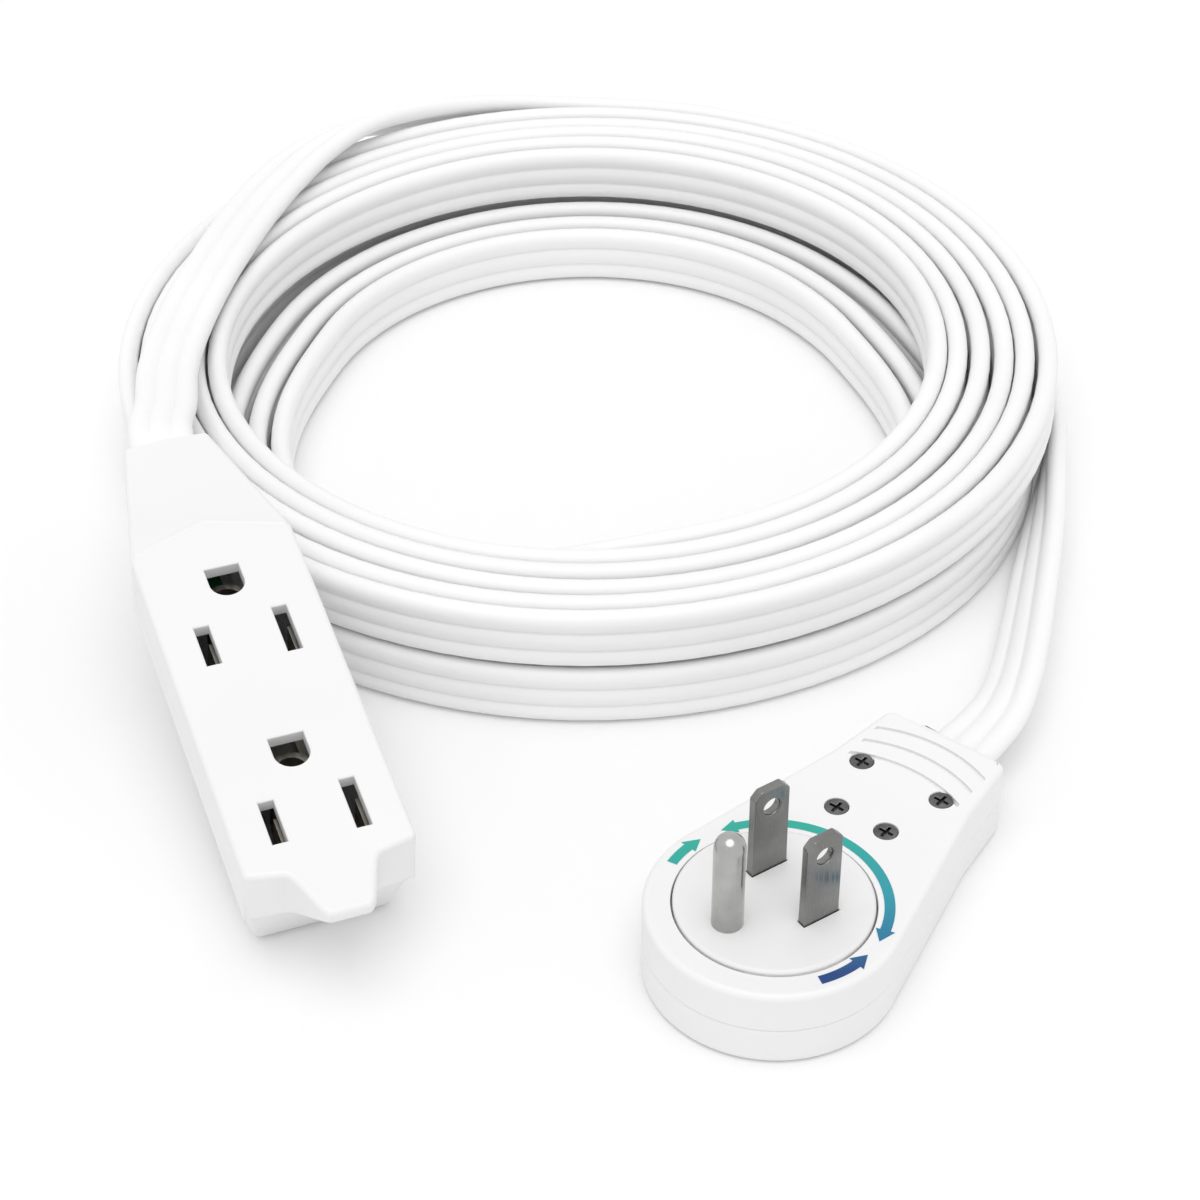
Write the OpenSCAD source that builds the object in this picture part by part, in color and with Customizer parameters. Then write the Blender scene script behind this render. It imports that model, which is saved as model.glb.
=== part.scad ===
// Flat extension cord with a two-outlet block, a cord wound in two layers and a rotating plug.
// The outlet block leans with its cord neck on the coil. The origin is under the middle of the block.

/* [Outlet block] */
// Width of the outlet face
block_w = 26.4; // [25.5:0.1:30]
// Thickness of the block from its keel to its face
block_h = 22; // [21.5:0.1:25]
// Height of the top shell
top_h = 12; // [11.5:0.1:13]
// Wall thickness of both block shells
wall = 1.8; // [1.5:0.1:2.1]
// Thickness of the outlet face
face_t = 2.2; // [1.8:0.1:3]
// Distance between the two outlets
outlet_pitch = 35.8; // [34:0.1:40]
// Distance from the near outlet to the near shoulders
end_margin = 9.8; // [9:0.1:12]
// Distance from the far outlet to the start of the chevron
cord_margin = 21.2; // [20:0.1:24]
// How far the middle of the chevron lies past its ends
chevron_rise = 4.4; // [3:0.1:6]
// Length of the neck past the chevron's ends
neck_len = 28.5; // [26:0.1:34]
// Width of the neck at its mouth
mouth_w = 14.6; // [13.8:0.1:18]
// Fall of the neck's top from the face to the mouth
neck_fall = 5; // [4:0.1:5.2]
// Length of the thumb tongue past the shoulders
tongue_len = 8.8; // [7:0.1:10]
// Width of the thumb tongue at its root
tongue_w = 15; // [14:0.1:18]
// Width of the thumb tongue at its tip
tongue_tip_w = 6; // [5:0.1:8]
// How far the end wall runs back under the face
under_run = 2.6; // [1.5:0.1:2.8]
// How far the shoulders fall back toward the side walls
shoulder_fall = 1.2; // [0.5:0.1:2]
// How far the bottom shell's sides draw in down to the keel
side_draft = 2.5; // [1:0.1:3]
// How far the bottom shell's near end draws in down to the keel
end_draft = 5.2; // [4.6:0.1:5.4]
// Reach of the bottom shell past the chevron's ends
heel_reach = -0.2; // [-0.4:0.1:0]
// How far the bottom shell's cord end draws in down to the keel
heel_draft = 5; // [4.6:0.1:5.2]
// Lean of the block, with its neck raised
block_tilt = 10.5; // [9.5:0.1:11.5]

/* [Outlets] */
// Distance between the two blade slots
slot_gap = 12.7; // [12.5:0.1:13]
// Width of a blade slot
slot_w = 2.4; // [2:0.1:2.8]
// Length of the line slot
line_slot = 8; // [7.2:0.1:8.6]
// Length of the neutral slot
neutral_slot = 9.4; // [8.8:0.1:10]
// Distance from the slots to the ground hole's middle
ground_gap = 11.86; // [11.6:0.02:12.2]
// Width of the ground hole
ground_hole = 5.6; // [5.2:0.1:6]
// Distance from the ground hole's middle to its flat side
ground_flat = 3.4; // [2.8:0.1:3.8]
// Thickness of the contact metal
contact_t = 0.6; // [0.4:0.1:0.8]
// Height of the contacts' base over the keel
contact_z = 3.4; // [3:0.1:3.8]
// Height of the contact leaves
contact_h = 15; // [13:0.1:15.8]
// Length of a contact leaf along the block
leaf_len = 6; // [5:0.1:6.2]
// Outer diameter of a ground sleeve
sleeve_d = 7; // [6.6:0.1:7.4]

/* [Cord] */
// Width of the flat cord
cord_w = 10.8; // [10:0.1:11.2]
// Thickness of the flat cord
cord_t = 3.5; // [3:0.1:3.5]
// Distance between neighbouring turns
turn_pitch = 4; // [4:0.05:4.4]
// Gap between the two layers of turns
layer_gap = 0.6; // [0.5:0.1:1.5]
// Radius of the outermost turn
coil_r = 83.4; // [82:0.1:83.6]
// Whole turns in the lower layer
lower_turns = 5; // [4:1:5]
// How far the innermost lower turn lies in toward the middle, away from the front
lower_spread = 12; // [8:0.1:12.4]
// Diameter of an insulated conductor
core_d = 2.2; // [1.8:0.1:2.4]

/* [Plug] */
// Radius of the plug's round head
head_r = 19.5; // [19.2:0.1:22]
// Thickness of the plug
plug_h = 13.5; // [13:0.1:15]
// Height of the back shell
back_h = 6.5; // [6:0.1:7]
// Wall thickness of both plug shells
plug_wall = 1.8; // [1.5:0.1:2]
// Thickness of the back shell's floor
floor_t = 1.6; // [1.2:0.1:1.8]
// Thickness of the face over the rotor's flange
lip_t = 2; // [1.8:0.1:2.4]
// Half width of the paddle at the far screws
paddle_half = 12.4; // [11.8:0.1:14]
// Half width of the paddle at its end
paddle_end_half = 10.8; // [10:0.1:11.6]
// Distance from the rotor axis to the paddle's end
paddle_len = 47; // [46:0.1:52]
// Distance from the rotor axis to the near screws
near_screw_y = 22.8; // [22.4:0.1:24]
// Half distance between the near screws
near_screw_x = 4.5; // [4.2:0.1:5]
// Distance from the rotor axis to the far screws
far_screw_y = 33.8; // [33:0.1:35]
// Half distance between the far screws
far_screw_x = 7.3; // [7:0.1:7.6]
// Diameter of a screw's shank
screw_d = 2.2; // [1.8:0.1:2.4]
// Diameter of a screw's head
screw_head = 3.7; // [3.2:0.1:4]
// Thickness of a screw's head
screw_head_t = 1.4; // [1:0.1:1.6]
// Distance from the rotor axis to the first grip groove's ends
groove_y = 34.3; // [34:0.1:35]
// Distance between the grip grooves
groove_pitch = 3.7; // [3.2:0.1:3.8]
// Half length of a grip groove
groove_half = 10; // [8:0.1:10.4]
// Bow of a grip groove toward the cord
groove_bow = 2.4; // [1.5:0.1:2.6]
// Width of a grip groove
groove_w = 0.7; // [0.4:0.1:1]
// Depth of a grip groove
groove_depth = 0.5; // [0.3:0.1:0.8]
// Width of the cord collar
collar_w = 14.6; // [13.8:0.1:15.6]
// Height of the cord collar
collar_h = 6.6; // [6.2:0.1:7]
// Length of the collar past the paddle's end
collar_len = 3.5; // [3:0.1:5]

/* [Rotor] */
// Radius of the rotor disc
disc_r = 15; // [14.8:0.1:15.2]
// Height of the rotor disc over the plug's face
disc_rise = 0.6; // [0.3:0.1:1]
// Gap round the rotor disc
disc_gap = 0.3; // [0.2:0.05:0.4]
// How far the flange reaches past the rotor disc
flange_reach = 1.9; // [1.6:0.1:2]
// Thickness of the flange
flange_t = 1.9; // [1.5:0.1:2]
// Gap over and under the flange
flange_gap = 0.3; // [0.2:0.05:0.4]
// Radius of the pivot post
pivot_r = 1.5; // [1.2:0.1:1.6]
// Radial running clearance on the pivot post
pivot_fit = 0.05; // [0.03:0.01:0.08]
// Length of the blades over the rotor disc
blade_len = 15.9; // [15.9:0.1:18]
// Width of a blade
blade_w = 6.35; // [6.2:0.05:6.5]
// Thickness of a blade
blade_t = 1.5; // [1.4:0.05:1.6]
// Distance from the rotor axis to the blades' line
blade_y = 3.3; // [3:0.1:3.6]
// Diameter of the hole in a blade
blade_hole = 3; // [2.6:0.1:3.4]
// Diameter of the ground pin
pin_d = 4.78; // [4.7:0.02:4.9]
// Length of the ground pin over the rotor disc
pin_len = 17.2; // [17:0.1:20.4]
// Middle radius of the line ring
line_ring_r = 3.8; // [3.6:0.1:4]
// Middle radius of the ground ring
ground_ring_r = 8.3; // [8.1:0.1:8.5]
// Middle radius of the neutral ring
neutral_ring_r = 12.7; // [12.5:0.1:12.8]
// Width of a slip ring
ring_w = 1.6; // [1.2:0.1:1.8]
// Thickness of a slip ring
ring_t = 0.8; // [0.6:0.1:1]
// Gap between a brush and its ring
brush_gap = 0.3; // [0.2:0.05:0.5]
// Turn of the prongs from the plug's length at rest
rotor_turn = -17.8; // [-180:0.2:180]

/* [Hidden] */
$fn = 64;
fit = 0.1;
touch = 0.02;
cut = 1;

white = [0.94, 0.94, 0.94];
cord_white = [0.9, 0.9, 0.9];
brass = [0.8, 0.66, 0.36];
steel = [0.75, 0.75, 0.77];

// Places along the block, from the middle between its outlets
near_y = -outlet_pitch / 2 - end_margin;
tip_y = near_y - tongue_len;
chevron_y = outlet_pitch / 2 + cord_margin;
peak_y = chevron_y + chevron_rise;
taper_y = chevron_y - 0.6;
mouth_y = chevron_y + neck_len;
heel_y = chevron_y + heel_reach;
split_z = block_h - top_h;
tongue_t = top_h / 5;
outlet_ys = [-outlet_pitch / 2, outlet_pitch / 2];
chevron_turn = atan(chevron_rise / (block_w / 2));
neck_slope = atan(neck_fall / ((mouth_y - peak_y) * cos(chevron_turn)));

// Room for the cord in the neck
cord_fit = 0.15;
sill_t = 1.6;
cord_z = split_z + sill_t + cord_t / 2;
channel_half = cord_w / 2 + 2 * cord_fit;
grip_len = 3;
grip_t = 1.4;
grip_y = chevron_y + 7;
grip_half = channel_half + grip_t;
cord_end_y = chevron_y + 1;

// The block leans back about its keel's near edge and stands over the origin
keel_y = near_y + end_draft;
lift = -keel_y * sin(block_tilt);
lay_min = tip_y * cos(block_tilt) - block_h * sin(block_tilt);
lay_max = mouth_y * cos(block_tilt) - split_z * sin(block_tilt);
slide = -(lay_min + lay_max) / 2;

// Where the coil and the plug lie
coil_at = [83.25, 74];
coil_start = -20;
plug_at = [60, -67.1];
plug_turn = -58.6;

// The coil: spiral in, climb at the front, spiral out.
// Each turn is round up to the part of it where it moves over by one pitch.
// The lower turns lie close together at the front and spread toward the middle elsewhere.
lower_lag = -50;
upper_lag = 190;
shift_part = 0.25;
front_at = 250;
front_half = 40;
front_fade = 70;
ring_step = 15;
climb_at = 225;
climb_turn = 60;
tail_at = 160;
lower_turn = 360 * lower_turns + climb_at;
climb_end = lower_turn + climb_turn;
coil_turn = climb_end + 360 * lower_turns + tail_at;
upper_r = coil_r - turn_pitch * lower_turns;
low_z = cord_w / 2;
high_z = low_z + cord_w + layer_gap;
rest_z = high_z + cord_w / 2 + 3 * fit;
tail_len = 11;

// Heights in the plug and the rotor
disc_top = plug_h + disc_rise;
disc_edge = 0.4;
flange_top = plug_h - lip_t - flange_gap;
flange_z = flange_top - flange_t;
flange_r = disc_r + flange_reach;
skirt_r = disc_r + 0.2;
skirt_t = 1.9;
pocket_r = skirt_r - 1.7;
pocket_z = flange_z + 0.7;
seat_z = flange_z - skirt_t;
base_t = 2.3;
base_z = seat_z - base_t;
ring_z = base_z - ring_t;
strap_t = 0.6;
strap_w = ring_w - 0.3;
pin_shank_d = pin_d - 0.6;
pin_foot_d = pin_d + 1.6;
pin_y = blade_y - ground_gap;
blade_xs = [-slot_gap / 2, slot_gap / 2];
blade_reach = norm([slot_gap / 2, blade_y]);
blade_angle = atan2(blade_y, slot_gap / 2);
blade_tip = 1.2;
hole_drop = 3.6;
brush_t = 0.5;
brush_w = 2;
brush_z = floor_t + 0.4;
brush_tail_y = 19.4;
ground_brush_x = 5.5;
neutral_brush_x = -6.5;
dome_r = 1.1;
wire_z = brush_z + brush_t + core_d / 2 + touch;
way_half = 9;
way_y = 8;
base_gap = 0.4;
boss_d = 5.2;
round_boss_x = near_screw_x + boss_d / 2 + core_d / 2 + 1;
cradle_r = skirt_r + 0.4;
cradle_top = flange_z - flange_gap;
plug_cord_z = plug_h / 2;
collar_flange = 1.5;
collar_rim = 0.8;
clamp_len = 3;
clamp_wall = 1.3;
clamp_y = paddle_len - plug_wall - collar_flange - 2.2;
plug_cord_end_y = clamp_y - clamp_len / 2 - 1;

// Where the conductors lie across the cord
core_gap = 3.6;
core_xs = [-core_gap, 0, core_gap];

function smooth(t) = t * t * (3 - 2 * t);
function clamp01(t) = max(0, min(1, t));
function unit(v) = v / norm(v);

// A point of the block's own frame and of the plug's own frame, where they lie
function on_block(p) = [p[0],
    p[1] * cos(block_tilt) - p[2] * sin(block_tilt) + slide,
    p[1] * sin(block_tilt) + p[2] * cos(block_tilt) + lift];
function on_plug(p) = [plug_at[0] + p[0] * cos(plug_turn) - p[1] * sin(plug_turn),
    plug_at[1] + p[0] * sin(plug_turn) + p[1] * cos(plug_turn), p[2]];

// Direction of the cord into the block, and out of the plug
block_way = unit(on_block([0, -1, 0]) - on_block([0, 0, 0]));
plug_way = unit(on_plug([0, 1, 0]) - on_plug([0, 0, 0]));

// Distance from the coil's middle and height of the cord, by how far it has wound
function turns_over(a) = let (t = a / 360, whole = floor(t))
    whole + smooth(clamp01((t - whole) / shift_part));
function from_front(a) = abs((coil_start + a - front_at + 540) % 360 - 180);
function lower_bow(a) = smooth(clamp01((from_front(a) - front_half) / front_fade));
function lower_radius(a) =
    let (t = turns_over(min(a, lower_turn) - lower_lag) - 1, u = max(t, 0) / lower_turns)
    coil_r - turn_pitch * t - lower_spread * lower_bow(a) * u * (2 - u);
function climbed(a) = smooth(clamp01((a - lower_turn) / climb_turn));
function coil_radius(a) =
    a < climb_end ? lower_radius(a) + (upper_r - lower_radius(a)) * climbed(a)
    : upper_r + turn_pitch * turns_over(a - climb_end - upper_lag);
function coil_height(a) = low_z + (high_z - low_z) * climbed(a);
function coil_point(a) = [coil_at[0] + coil_radius(a) * cos(coil_start + a),
    coil_at[1] + coil_radius(a) * sin(coil_start + a), coil_height(a)];
function coil_way(a) = [-sin(coil_start + a), cos(coil_start + a), 0];
coil_head = coil_point(0) - tail_len * coil_way(0);
coil_tail = coil_point(coil_turn) + tail_len * coil_way(coil_turn);
coil_points = concat([coil_head], [for (a = [0 : ring_step : coil_turn]) coil_point(a)], [coil_tail]);
on_edge = -90;

// Lead to the outlet block: angle round the coil, radius and height of its points, and the cord's roll
over_coil = [[80, 84.9, 18, -100], [88, 85, 19.8, -116], [96, 84.2, 22, -134], [104, 82, 24.2, -152],
    [112, 79, 25, -167], [120, 76, 25, -176], [128, 73.5, 24.9, -180], [136, 71.8, 24.8, -180],
    [144, 71, 24.8, -180], [152, 71.2, 24.8, -180], [160, 72.3, 24.9, -180], [168, 74.2, 25.4, -180],
    [176, 76.6, 26.6, -180], [184, 79.4, 28.3, -180]];
outlet_route = concat([coil_tail],
    [for (p = over_coil) [coil_at[0] + p[1] * cos(p[0]), coil_at[1] + p[1] * sin(p[0]), p[2]]],
    [for (y = [mouth_y + 3, mouth_y, cord_end_y]) on_block([0, y, cord_z])]);
outlet_roll = concat([on_edge], [for (p = over_coil) p[3]], [-180, -180, -180]);

// Lead to the plug: points, and the roll of the flat cord at each
plug_route = concat([on_plug([0, plug_cord_end_y, plug_cord_z]),
    on_plug([0, paddle_len + collar_len, plug_cord_z])],
    [[113.4, -33.9, 6.6], [119, -28.1, 6.3], [125, -20, 5.9], [131.4, -10.4, 5.6], [138.5, 0.5, 5.5],
        [144.6, 9.9, 5.5], [152, 21.7, 5.6]],
    [coil_head]);
plug_roll = [0, 0, -14, -32, -39, -44, -49, -57, -75, -90];

// Outline of the flat cord across its width and thickness
cord_outline = let (w = cord_w / 2, t = cord_t / 2, c = cord_t / 4)
    [[w, c], [w - c, t], [c - w, t], [-w, c], [-w, -c], [c - w, -t], [w - c, -t], [w, -c]];
function wire_outline(d) = [for (i = [0 : 7]) [d / 2 * cos(45 * i), d / 2 * sin(45 * i)]];

// Direction of a route at one of its points
function way(p, i) = unit(p[min(i + 1, len(p) - 1)] - p[max(i - 1, 0)]);
function end_way(p, i, ends) = i == 0 && ends[0] != undef ? ends[0]
    : i == len(p) - 1 && ends[1] != undef ? ends[1] : way(p, i);

// One ring of a swept outline, square to the route and rolled about it
function ring(at, along, roll, outline) =
    let (side = unit(cross([0, 0, 1], along)), up = cross(along, side))
    [for (q = outline) at + (q[0] * cos(roll) - q[1] * sin(roll)) * side
        + (q[0] * sin(roll) + q[1] * cos(roll)) * up];

// Closed solid of triangles through rings of equal size
module skin(rings) {
    n = len(rings[0]);
    last = len(rings) - 1;
    sides = [for (i = [0 : last - 1], j = [0 : n - 1], k = [0, 1])
        k == 0 ? [i * n + j, i * n + (j + 1) % n, (i + 1) * n + j]
        : [i * n + (j + 1) % n, (i + 1) * n + (j + 1) % n, (i + 1) * n + j]];
    front = [for (j = [1 : n - 2]) [0, j + 1, j]];
    back = [for (j = [1 : n - 2]) [last * n, last * n + j, last * n + j + 1]];
    polyhedron([for (r = rings, p = r) p], [for (f = concat(sides, front, back)) [f[2], f[1], f[0]]]);
}

// A cord or a wire along a route
module sweep(points, rolls, outline, ends = [undef, undef]) {
    skin([for (i = [0 : len(points) - 1])
        ring(points[i], end_way(points, i, ends), rolls[i], outline)]);
}

// Least gap of the coil to itself, between flat sides in a layer and between edges of the layers
coil_gaps = [for (a = [0 : ring_step : coil_turn - 360], b = [a + 360 : 360 : coil_turn])
    let (p = coil_point(a), q = coil_point(b), rise = abs(p[2] - q[2]),
        across = abs(coil_radius(a) - coil_radius(b)) * cos(ring_step / 2))
    max(across - cord_t, rise - cord_w)];
echo(least_coil_gap = min(coil_gaps));
function len_of(p, i = 0) = i >= len(p) - 1 ? 0 : norm(p[i + 1] - p[i]) + len_of(p, i + 1);
echo(cord_length = len_of(coil_points) + len_of(outlet_route) + len_of(plug_route));

module lay_block() {
    translate([0, slide, lift]) rotate([block_tilt, 0, 0]) children();
}

module lay_plug() {
    translate([plug_at[0], plug_at[1], 0]) rotate([0, 0, plug_turn]) children();
}

module lay_rotor() {
    lay_plug() rotate([0, 0, rotor_turn]) children();
}

// A box centred on X and standing between two heights
module bar(half, y0, y1, z0, z1) {
    translate([-half, y0, z0]) cube([2 * half, y1 - y0, z1 - z0]);
}

// Outline of the block seen on its face, with the thumb tongue and the neck
module block_outline() {
    steps = 8;
    tip = tongue_tip_w / 2;
    side = [for (i = [0 : steps]) [tip + (tongue_w / 2 - tip) * i / steps,
        near_y - tongue_len * (1 - smooth(i / steps))]];
    tongue = concat([for (i = [steps : -1 : 0]) [-side[i][0], side[i][1]]], side);
    polygon(concat(tongue, [[block_w / 2, near_y + shoulder_fall], [block_w / 2, taper_y],
        [mouth_w / 2, mouth_y], [-mouth_w / 2, mouth_y], [-block_w / 2, taper_y],
        [-block_w / 2, near_y + shoulder_fall]]));
}

// The two planes of the neck's hipped top
module neck_top_cut() {
    for (s = [-1, 1])
        translate([0, peak_y, block_h]) rotate([0, 0, s * chevron_turn]) rotate([-neck_slope, 0, 0])
            translate([-block_w, 0, 0]) cube([2 * block_w, 2 * neck_len, block_h]);
}

// The tongue's underside slopes back to the foot of the end wall
module tongue_under_cut() {
    lip_z = block_h - tongue_t;
    translate([-block_w, 0, 0]) rotate([90, 0, 90]) linear_extrude(2 * block_w)
        polygon([[near_y + under_run, split_z], [tip_y, lip_z], [tip_y - cut, lip_z],
            [tip_y - cut, split_z - cut], [near_y + under_run, split_z - cut]]);
}

module ground_mouth(y, depth) {
    translate([0, y + ground_gap, block_h - depth]) {
        cylinder(d = ground_hole, h = depth + cut);
        translate([-ground_hole / 2, 0, 0]) cube([ground_hole, ground_flat, depth + cut]);
    }
}

module slot_mouth(x, y, length, depth) {
    translate([x - slot_w / 2, y - length / 2, block_h - depth]) cube([slot_w, length, depth + cut]);
}

// Room for the coil under the neck
module coil_room() {
    near = heel_y * cos(block_tilt) - split_z * sin(block_tilt) + slide;
    bar(block_w, near + fit, near + 2 * neck_len, 0, rest_z);
}

module outlet_top_shell() {
    color(white) difference() {
        lay_block() difference() {
            translate([0, 0, split_z]) linear_extrude(top_h) block_outline();
            neck_top_cut();
            tongue_under_cut();
            bar(block_w / 2 - wall, near_y + wall + under_run, chevron_y - wall, split_z - cut,
                block_h - face_t);
            bar(channel_half, chevron_y - wall - cut, mouth_y + cut, split_z - cut,
                cord_z + cord_t / 2 + cord_fit);
            bar(grip_half + fit, grip_y - fit, grip_y + grip_len + fit, split_z - cut,
                cord_z + cord_t / 2 + grip_t + 2 * fit);
            for (y = outlet_ys) {
                slot_mouth(-slot_gap / 2, y, line_slot, face_t + cut);
                slot_mouth(slot_gap / 2, y, neutral_slot, face_t + cut);
                ground_mouth(y, face_t + cut);
            }
        }
        coil_room();
    }
}

// The bottom shell's drafted body, drawn in by a wall thickness
module keel_body(inset, z0) {
    low = [block_w / 2 - side_draft - inset, near_y + end_draft + inset, heel_y - heel_draft - inset];
    high = [block_w / 2 - inset, near_y + under_run + inset, heel_y - inset];
    intersection() {
        translate([0, high[2], z0]) rotate([90, 0, 0]) linear_extrude(high[2] - near_y)
            polygon([[-low[0], 0], [low[0], 0], [high[0], split_z - z0], [-high[0], split_z - z0]]);
        translate([-block_w, 0, z0]) rotate([90, 0, 90]) linear_extrude(2 * block_w)
            polygon([[low[1], 0], [low[2], 0], [high[2], split_z - z0], [high[1], split_z - z0]]);
    }
}

module outlet_bottom_shell() {
    rib_t = 1.2;
    color(white) lay_block() {
        difference() {
            keel_body(0, 0);
            keel_body(wall, floor_t);
        }
        for (y = [outlet_ys[0] + leaf_len / 2 + 2, 0, outlet_ys[1] - leaf_len / 2 - 2])
            bar(block_w / 2 - side_draft - wall, y - rib_t / 2, y + rib_t / 2, floor_t - touch, contact_z);
        bar(channel_half - 2 * fit, heel_y - wall - touch, mouth_y, split_z - touch,
            cord_z - cord_t / 2 - touch);
    }
}

// A bus strip with a pair of leaves under the slots of each outlet
module blade_bus(x) {
    grip = blade_t + 2 * fit;
    lay_block() translate([x, 0, contact_z]) {
        bar(grip / 2 + contact_t, outlet_ys[0] - leaf_len / 2, outlet_ys[1] + leaf_len / 2 + 3, 0, contact_t);
        for (y = outlet_ys, s = [-1, 1])
            translate([s * (grip + contact_t) / 2, 0, 0])
                bar(contact_t / 2, y - leaf_len / 2, y + leaf_len / 2, 0, contact_h);
    }
}

module outlet_line_bus() {
    color(brass) blade_bus(-slot_gap / 2);
}

module outlet_neutral_bus() {
    color(brass) blade_bus(slot_gap / 2);
}

// Split sleeves that take the ground pins, on one strip
module outlet_ground_bus() {
    bore = pin_d + 2 * fit;
    strip_half = 1.5;
    color(brass) lay_block() difference() {
        translate([0, ground_gap, contact_z]) {
            bar(strip_half, outlet_ys[0], outlet_ys[1], 0, contact_t);
            for (y = outlet_ys) translate([0, y, 0]) cylinder(d = sleeve_d, h = contact_h - 1);
        }
        for (y = outlet_ys) translate([0, y + ground_gap, contact_z - cut]) {
            cylinder(d = bore, h = block_h);
            translate([-contact_t, -sleeve_d, contact_t + 2 * cut]) cube([2 * contact_t, sleeve_d, block_h]);
        }
    }
}

// Saddle that holds the cord down on the sill
module outlet_cord_grip() {
    top = cord_z + cord_t / 2;
    color(white) lay_block() difference() {
        bar(grip_half, grip_y, grip_y + grip_len, split_z + touch, top + grip_t);
        bar(channel_half, grip_y - cut, grip_y + grip_len + cut, split_z - cut, top);
    }
}

// Conductors from the cord's end to the buses
module outlet_wire(points, tint) {
    color(tint) sweep([for (p = points) on_block(p)], [for (p = points) 0], wire_outline(core_d),
        [block_way, undef]);
}

module outlet_line_wire() {
    bus_end = outlet_ys[1] + leaf_len / 2 + 1.4;
    outlet_wire([[core_xs[0], cord_end_y - touch, cord_z], [core_xs[0] - 1.2, cord_end_y - 5, cord_z - 1.4],
        [-slot_gap / 2, cord_end_y - 10, contact_z + contact_t + core_d / 2 + 0.6],
        [-slot_gap / 2, bus_end, contact_z + contact_t + core_d / 2 + touch]], "black");
}

module outlet_neutral_wire() {
    bus_end = outlet_ys[1] + leaf_len / 2 + 1.4;
    outlet_wire([[core_xs[2], cord_end_y - touch, cord_z], [core_xs[2] + 1.2, cord_end_y - 5, cord_z - 1.4],
        [slot_gap / 2, cord_end_y - 10, contact_z + contact_t + core_d / 2 + 0.6],
        [slot_gap / 2, bus_end, contact_z + contact_t + core_d / 2 + touch]], "white");
}

module outlet_ground_wire() {
    sleeve_y = outlet_ys[1] + ground_gap + sleeve_d / 2;
    outlet_wire([[core_xs[1], cord_end_y - touch, cord_z], [core_xs[1], cord_end_y - 2.5, cord_z - 0.3],
        [core_xs[1], sleeve_y + touch, cord_z - 0.5]], "green");
}

module cord_lead_outlet() {
    color(cord_white) sweep(outlet_route, outlet_roll, cord_outline, [coil_way(coil_turn), block_way]);
}

module cord_coil() {
    count = len(coil_points);
    color(cord_white) skin([for (i = [0 : count - 1])
        ring(coil_points[i], coil_way(ring_step * max(0, min(count - 3, i - 1))), on_edge, cord_outline)]);
}

module cord_lead_plug() {
    color(cord_white) sweep(plug_route, plug_roll, cord_outline, [plug_way, coil_way(0)]);
}

// Outline of the plug seen on its face, drawn in by a wall thickness
module plug_outline(inset) {
    half = paddle_half - inset;
    reach = norm([half, far_screw_y]);
    meet = atan2(far_screw_y, half) - acos((head_r - inset) / reach);
    edge = [[(head_r - inset) * cos(meet), (head_r - inset) * sin(meet)], [half, far_screw_y],
        [paddle_end_half - inset, paddle_len - inset]];
    circle(head_r - inset);
    polygon(concat(edge, [for (i = [2 : -1 : 0]) [-edge[i][0], edge[i][1]]]));
}

module at_screws() {
    for (s = [-1, 1]) {
        translate([s * near_screw_x, near_screw_y, 0]) children();
        translate([s * far_screw_x, far_screw_y, 0]) children();
    }
}

// Room for the collar in the paddle's end wall
module collar_port() {
    translate([-collar_w / 2 - fit, paddle_len - plug_wall - cut, plug_cord_z - collar_h / 2 - fit])
        cube([collar_w + 2 * fit, plug_wall + 2 * cut, collar_h + 2 * fit]);
}

module plug_back_shell() {
    color(white) lay_plug() {
        difference() {
            union() {
                difference() {
                    linear_extrude(back_h) plug_outline(0);
                    translate([0, 0, floor_t]) linear_extrude(back_h) plug_outline(plug_wall);
                }
                translate([0, 0, floor_t - touch]) difference() {
                    cylinder(r = head_r - plug_wall - disc_gap, h = cradle_top - floor_t + touch);
                    translate([0, 0, -cut]) cylinder(r = cradle_r, h = plug_h);
                }
                at_screws() translate([0, 0, floor_t - touch])
                    cylinder(d = boss_d, h = back_h - floor_t + touch);
            }
            at_screws() translate([0, 0, floor_t + cut]) cylinder(d = screw_d, h = plug_h);
            bar(way_half, way_y, near_screw_y - boss_d / 2 - touch, floor_t, base_z + base_gap);
            collar_port();
        }
        translate([0, 0, floor_t - touch]) cylinder(r = pivot_r, h = seat_z - flange_gap - floor_t);
        for (x = [0, ground_brush_x, neutral_brush_x])
            translate([x, 0, 0])
                bar(brush_w / 2, brush_tail_y - 4, brush_tail_y - 1, floor_t - touch, brush_z);
    }
}

// A bowed groove across the paddle's face
module grip_groove(y) {
    r = (groove_half * groove_half + groove_bow * groove_bow) / (2 * groove_bow);
    translate([0, y + groove_bow - r, plug_h - groove_depth]) linear_extrude(groove_depth + cut)
        intersection() {
            difference() {
                circle(r + groove_w / 2, $fn = 128);
                circle(r - groove_w / 2, $fn = 128);
            }
            translate([-groove_half, 0]) square([2 * groove_half, r + cut]);
        }
}

module plug_face_shell() {
    color(white) lay_plug() difference() {
        union() {
            difference() {
                translate([0, 0, back_h + touch]) linear_extrude(plug_h - back_h - touch) plug_outline(0);
                translate([0, 0, back_h - cut]) linear_extrude(plug_h - lip_t - back_h + cut)
                    plug_outline(plug_wall);
            }
            at_screws() translate([0, 0, back_h + touch]) cylinder(d = boss_d, h = plug_h - back_h - lip_t);
        }
        translate([0, 0, back_h]) cylinder(r = disc_r + disc_gap, h = plug_h);
        at_screws() {
            translate([0, 0, back_h - cut]) cylinder(d = screw_d + 2 * fit, h = plug_h);
            translate([0, 0, plug_h - screw_head_t - fit]) cylinder(d = screw_head + 2 * fit, h = plug_h);
        }
        for (i = [0 : 2]) grip_groove(groove_y + i * groove_pitch);
        collar_port();
    }
}

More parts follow.
